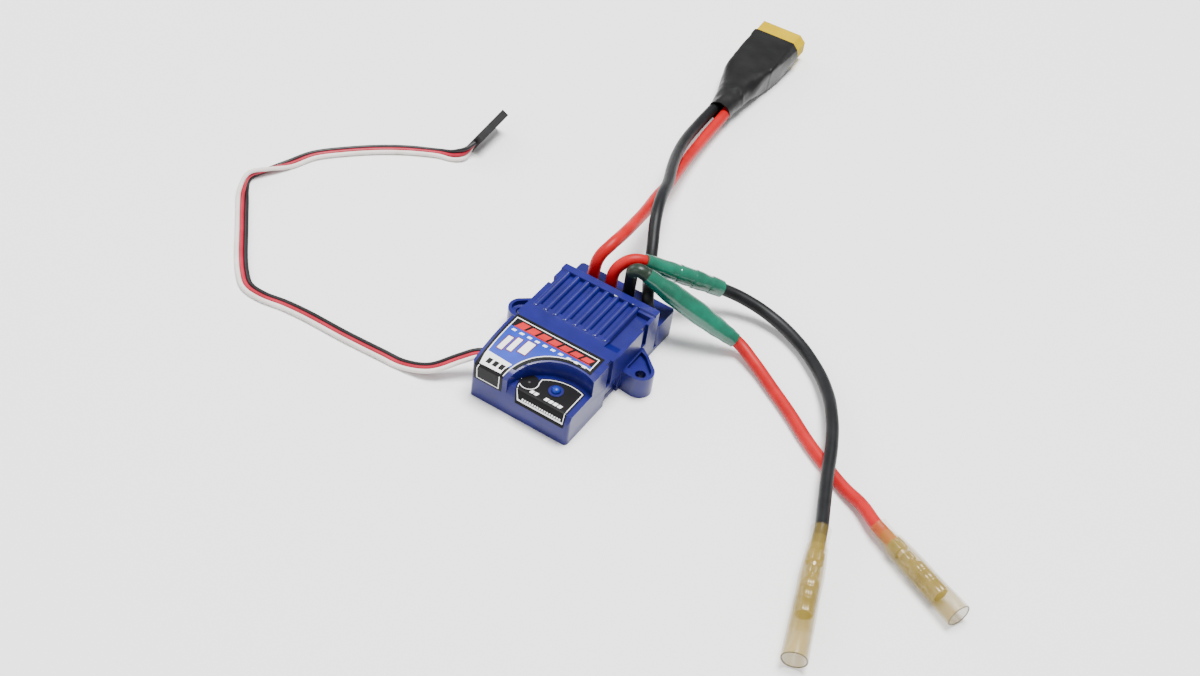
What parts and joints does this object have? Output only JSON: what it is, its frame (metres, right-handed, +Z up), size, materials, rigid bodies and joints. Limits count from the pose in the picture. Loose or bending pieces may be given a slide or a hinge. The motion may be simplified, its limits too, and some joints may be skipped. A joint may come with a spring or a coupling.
{
  "type": "electronic speed controller",
  "caption": "Waterproof speed controller for a brushed model motor, with ribbed case, screw ears, set button, battery connector, motor sockets and signal plug.",
  "frame": {"origin": "middle of the case's underside, ears included, where it rests", "axes": "+X to the right seen from the button end, +Y from the button end to the lead end, +Z up out of the label"},
  "size_m": [0.2454, 0.2262, 0.0236],
  "materials": {
    "case_plastic": "semi-gloss moulded royal-blue plastic",
    "seal_rubber": "matt black rubber",
    "main_label_film": "printed glossy label film",
    "control_label_film": "printed glossy label film",
    "button_plastic": "glossy blue plastic",
    "clear_window": "smoked clear plastic",
    "led_body": "moulded LED body",
    "switch_plastic": "black moulded plastic",
    "board": "green solder resist",
    "chip_plastic": "moulded epoxy with tinned legs",
    "thermal_silicone": "grey thermal silicone",
    "bare_aluminium": "extruded, bare",
    "capacitor_can": "sleeved aluminium can",
    "solder": "solder",
    "screw_steel": "black zinc steel",
    "red_silicone": "satin silicone insulation",
    "black_silicone": "satin silicone insulation",
    "heat_shrink": "wrinkled black heat-shrink and tape",
    "connector_yellow": "moulded yellow nylon",
    "gold_contact": "gold-plated brass",
    "green_tape": "glossy stretched vinyl tape",
    "clear_vinyl": "aged clear vinyl sleeve",
    "tinned_metal": "tinned brass",
    "ribbon_pvc": "black, red and white PVC strands",
    "plug_plastic": "black moulded plug"
  },
  "bodies": {
    "root": {"upper_housing": "case_plastic", "base_tray": "case_plastic", "housing_gasket": "seal_rubber", "wire_seal": "seal_rubber", "signal_grommet": "seal_rubber", "main_label": "main_label_film", "control_label": "control_label_film", "switch_body": "switch_plastic", "light_pipe": "clear_window", "status_led": "led_body", "circuit_board": "board", "microcontroller": "chip_plastic", "gate_driver": "chip_plastic", "power_transistors": "chip_plastic", "thermal_pad": "thermal_silicone", "heat_spreader": "bare_aluminium", "filter_capacitors": "capacitor_can", "voltage_regulator": "chip_plastic", "inductor": "chip_plastic", "crystal": "tinned_metal", "chip_resistors": "chip_plastic", "flyback_diode": "chip_plastic", "lead_pads": "solder", "signal_header": "solder", "case_screws": "screw_steel", "battery_lead_red": "red_silicone", "battery_lead_black": "black_silicone", "battery_boot": "heat_shrink", "battery_connector": "connector_yellow", "battery_contacts": "gold_contact", "motor_lead_red": "red_silicone", "motor_lead_black": "black_silicone", "splice_tape_front": "green_tape", "splice_tape_rear": "green_tape", "splice_joint_front": "tinned_metal", "splice_joint_rear": "tinned_metal", "extension_red": "red_silicone", "extension_black": "black_silicone", "clear_sleeve_left": "clear_vinyl", "clear_sleeve_right": "clear_vinyl", "bullet_receptacle_left": "tinned_metal", "bullet_receptacle_right": "tinned_metal", "signal_ribbon": "ribbon_pvc", "signal_plug": "plug_plastic", "signal_contacts": "gold_contact"},
    "button": {"set_button": "button_plastic", "switch_plunger": "switch_plastic"}
  },
  "joints": [
    {"name": "set_button_press", "type": "slide", "parent": "root", "child": "button", "axis": [0, 0, -1], "range_m": [0, 0.0004], "stiffness_N_per_m": 600}
  ]
}
